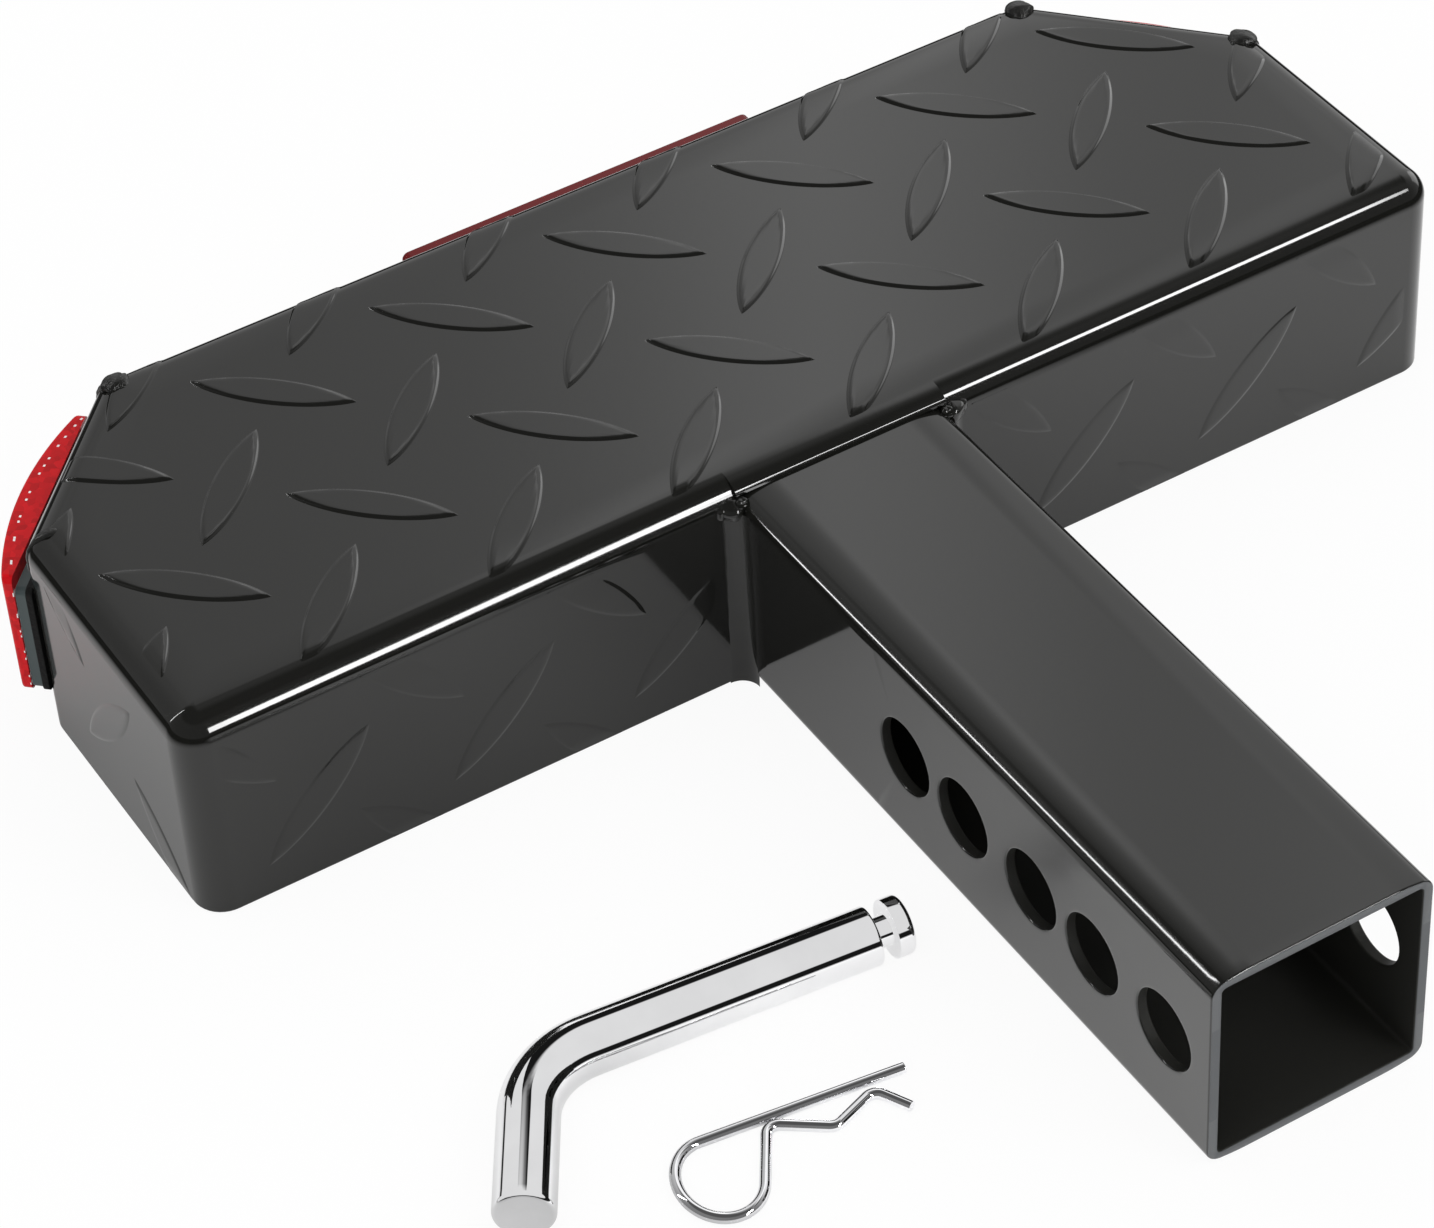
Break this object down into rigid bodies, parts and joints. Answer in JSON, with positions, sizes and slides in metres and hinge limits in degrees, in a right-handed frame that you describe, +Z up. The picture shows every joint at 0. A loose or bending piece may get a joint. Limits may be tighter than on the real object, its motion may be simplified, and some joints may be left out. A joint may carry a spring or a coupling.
{
  "type": "hitch receiver step",
  "caption": "Folded tread-plate step welded onto a square receiver tube with a row of pin holes, with red reflectors on its rear edges and a loose bent pin and spring clip.",
  "frame": {"origin": "on the tube's underside, in the centre plane, below the front flange's outer face", "axes": "+X along the tray, to the right seen from the tube's open end; +Y from the tube towards the tray's rear edge; +Z up"},
  "size_m": [0.3212, 0.2825, 0.0566],
  "materials": {
    "black_powder_coat": "satin black powder coat",
    "chrome_plate": "bright plated",
    "red_lens": "clear red moulding with prisms behind its face",
    "dark_base": "moulded",
    "foam_pad": "closed-cell foam tape"
  },
  "bodies": {
    "root": {"step_tray": "black_powder_coat", "receiver_tube": "black_powder_coat", "front_weld_left": "black_powder_coat", "front_weld_right": "black_powder_coat", "rear_weld_left": "black_powder_coat", "rear_weld_right": "black_powder_coat", "stitch_welds_left": "black_powder_coat", "stitch_welds_right": "black_powder_coat", "corner_weld_left": "black_powder_coat", "corner_weld_rear_left": "black_powder_coat", "corner_weld_rear_right": "black_powder_coat", "corner_weld_right": "black_powder_coat", "left_reflector_pad": "foam_pad", "left_reflector_base": "dark_base", "left_reflector_lens": "red_lens", "right_reflector_pad": "foam_pad", "right_reflector_base": "dark_base", "right_reflector_lens": "red_lens", "rear_reflector_pad": "foam_pad", "rear_reflector_base": "dark_base", "rear_reflector_lens": "red_lens", "hitch_pin": "chrome_plate", "hitch_clip": "chrome_plate"}
  },
  "joints": []
}
